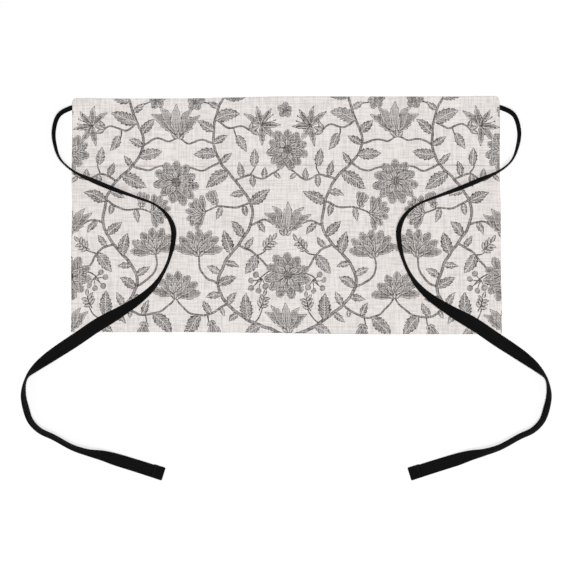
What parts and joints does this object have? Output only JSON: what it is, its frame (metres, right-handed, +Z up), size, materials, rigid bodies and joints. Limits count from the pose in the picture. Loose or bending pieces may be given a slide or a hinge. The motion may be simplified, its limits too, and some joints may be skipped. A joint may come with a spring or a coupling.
{
  "type": "half waist apron",
  "caption": "Half waist apron of printed cloth, laid flat, with a full-width pocket panel divided into pockets and a long tape tie on each side.",
  "frame": {"origin": "on the surface that the apron lies on, under the middle of the body panel", "axes": "+X to the right and +Y towards the waist edge as the front is seen from above, +Z up out of the cloth"},
  "size_m": [0.6802, 0.4899, 0.027],
  "materials": {
    "printed_cloth": "matte woven cloth with a grey print",
    "tie_tape": "matte black woven tape"
  },
  "bodies": {
    "root": {"body_panel": "printed_cloth", "pocket_panel": "printed_cloth", "tie_left": "tie_tape", "tie_right": "tie_tape"}
  },
  "joints": []
}
